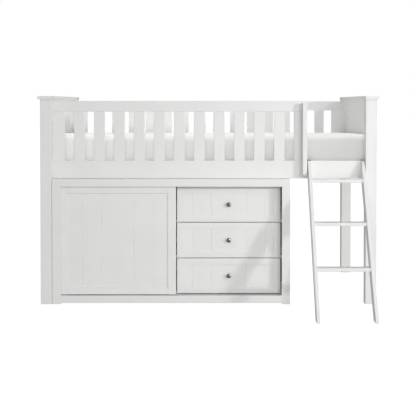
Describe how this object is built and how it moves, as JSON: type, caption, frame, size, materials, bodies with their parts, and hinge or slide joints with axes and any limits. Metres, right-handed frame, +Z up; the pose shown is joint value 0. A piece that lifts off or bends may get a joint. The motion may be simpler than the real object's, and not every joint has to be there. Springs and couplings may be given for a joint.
{
  "type": "loft bed",
  "caption": "Low loft bed with slatted guards, a slanted hook-on ladder and a storage unit below it with a sliding planked door and recessed drawers.",
  "frame": {"origin": "on the floor, at the middle of the bed's length and midway between the ladder's feet and the back of the end caps", "axes": "+X along the bed towards the ladder end, +Y from the front to the back, +Z up"},
  "size_m": [2.092, 1.612, 1.28],
  "materials": {
    "white_paint": "satin",
    "bare_pine": "matte",
    "cotton_sheet": "matte",
    "steel": "satin",
    "polished_knob": "polished",
    "nylon": "matte"
  },
  "bodies": {
    "bed": {"back_guard_slats": "white_paint", "back_guard_stiles": "white_paint", "back_guard_top_rail": "white_paint", "back_side_rail": "white_paint", "bed_slats": "bare_pine", "door_guide_strips": "white_paint", "door_track": "steel", "drawer_guides": "white_paint", "drawer_runners": "white_paint", "end_bottom_rails": "white_paint", "end_top_rails": "white_paint", "front_guard_slats": "white_paint", "front_guard_stiles": "white_paint", "front_guard_top_rail": "white_paint", "front_side_rail": "white_paint", "guard_upright": "white_paint", "left_back_post": "white_paint", "left_end_cap": "white_paint", "left_end_planks": "white_paint", "left_front_post": "white_paint", "mattress": "cotton_sheet", "rail_barrel_nuts": "steel", "rail_bolts": "steel", "right_back_post": "white_paint", "right_end_cap": "white_paint", "right_end_planks": "white_paint", "right_front_post": "white_paint", "shelf_pins": "steel", "slat_cleats": "bare_pine", "unit_back": "white_paint", "unit_bottom_rail": "white_paint", "unit_divider": "white_paint", "unit_floor": "white_paint", "unit_left_side": "white_paint", "unit_left_stile": "white_paint", "unit_right_side": "white_paint", "unit_right_stile": "white_paint", "unit_shelf": "white_paint", "unit_top": "white_paint", "unit_top_rail": "white_paint"},
    "sliding_door": {"door_stiles": "white_paint", "door_rails": "white_paint", "door_planks": "white_paint", "door_roller_brackets": "steel"},
    "left_roller": {"door_left_roller": "nylon"},
    "right_roller": {"door_right_roller": "nylon"},
    "ladder": {"ladder_left_stringer": "white_paint", "ladder_right_stringer": "white_paint", "ladder_treads": "white_paint", "ladder_hooks": "steel"},
    "top_drawer": {"top_drawer_front": "white_paint", "top_drawer_box": "bare_pine", "top_drawer_knob": "polished_knob"},
    "middle_drawer": {"middle_drawer_front": "white_paint", "middle_drawer_box": "bare_pine", "middle_drawer_knob": "polished_knob"},
    "bottom_drawer": {"bottom_drawer_front": "white_paint", "bottom_drawer_box": "bare_pine", "bottom_drawer_knob": "polished_knob"}
  },
  "joints": [
    {"name": "door_slide", "type": "slide", "parent": "bed", "child": "sliding_door", "axis": [-1, 0, 0], "range_m": [-0.662, 0]},
    {"name": "top_drawer_slide", "type": "slide", "parent": "bed", "child": "top_drawer", "axis": [0, -1, 0], "range_m": [0, 0.33]},
    {"name": "middle_drawer_slide", "type": "slide", "parent": "bed", "child": "middle_drawer", "axis": [0, -1, 0], "range_m": [0, 0.33]},
    {"name": "bottom_drawer_slide", "type": "slide", "parent": "bed", "child": "bottom_drawer", "axis": [0, -1, 0], "range_m": [0, 0.33]},
    {"name": "ladder_lift", "type": "slide", "parent": "bed", "child": "ladder", "axis": [0, 0, 1], "range_m": [0, 0.04]},
    {"name": "left_roller_spin", "type": "hinge", "parent": "sliding_door", "child": "left_roller", "pos_m": [-0.829, -0.2905, 0.0668], "axis": [0, 1, 0], "range_deg": [0, 2710]},
    {"name": "right_roller_spin", "type": "hinge", "parent": "sliding_door", "child": "right_roller", "pos_m": [-0.291, -0.2905, 0.0668], "axis": [0, 1, 0], "range_deg": [0, 2710]}
  ],
  "couplings": [
    {"joint": "left_roller_spin", "follows": "door_slide", "rad_per_m": -71.429},
    {"joint": "right_roller_spin", "follows": "door_slide", "rad_per_m": -71.429}
  ]
}
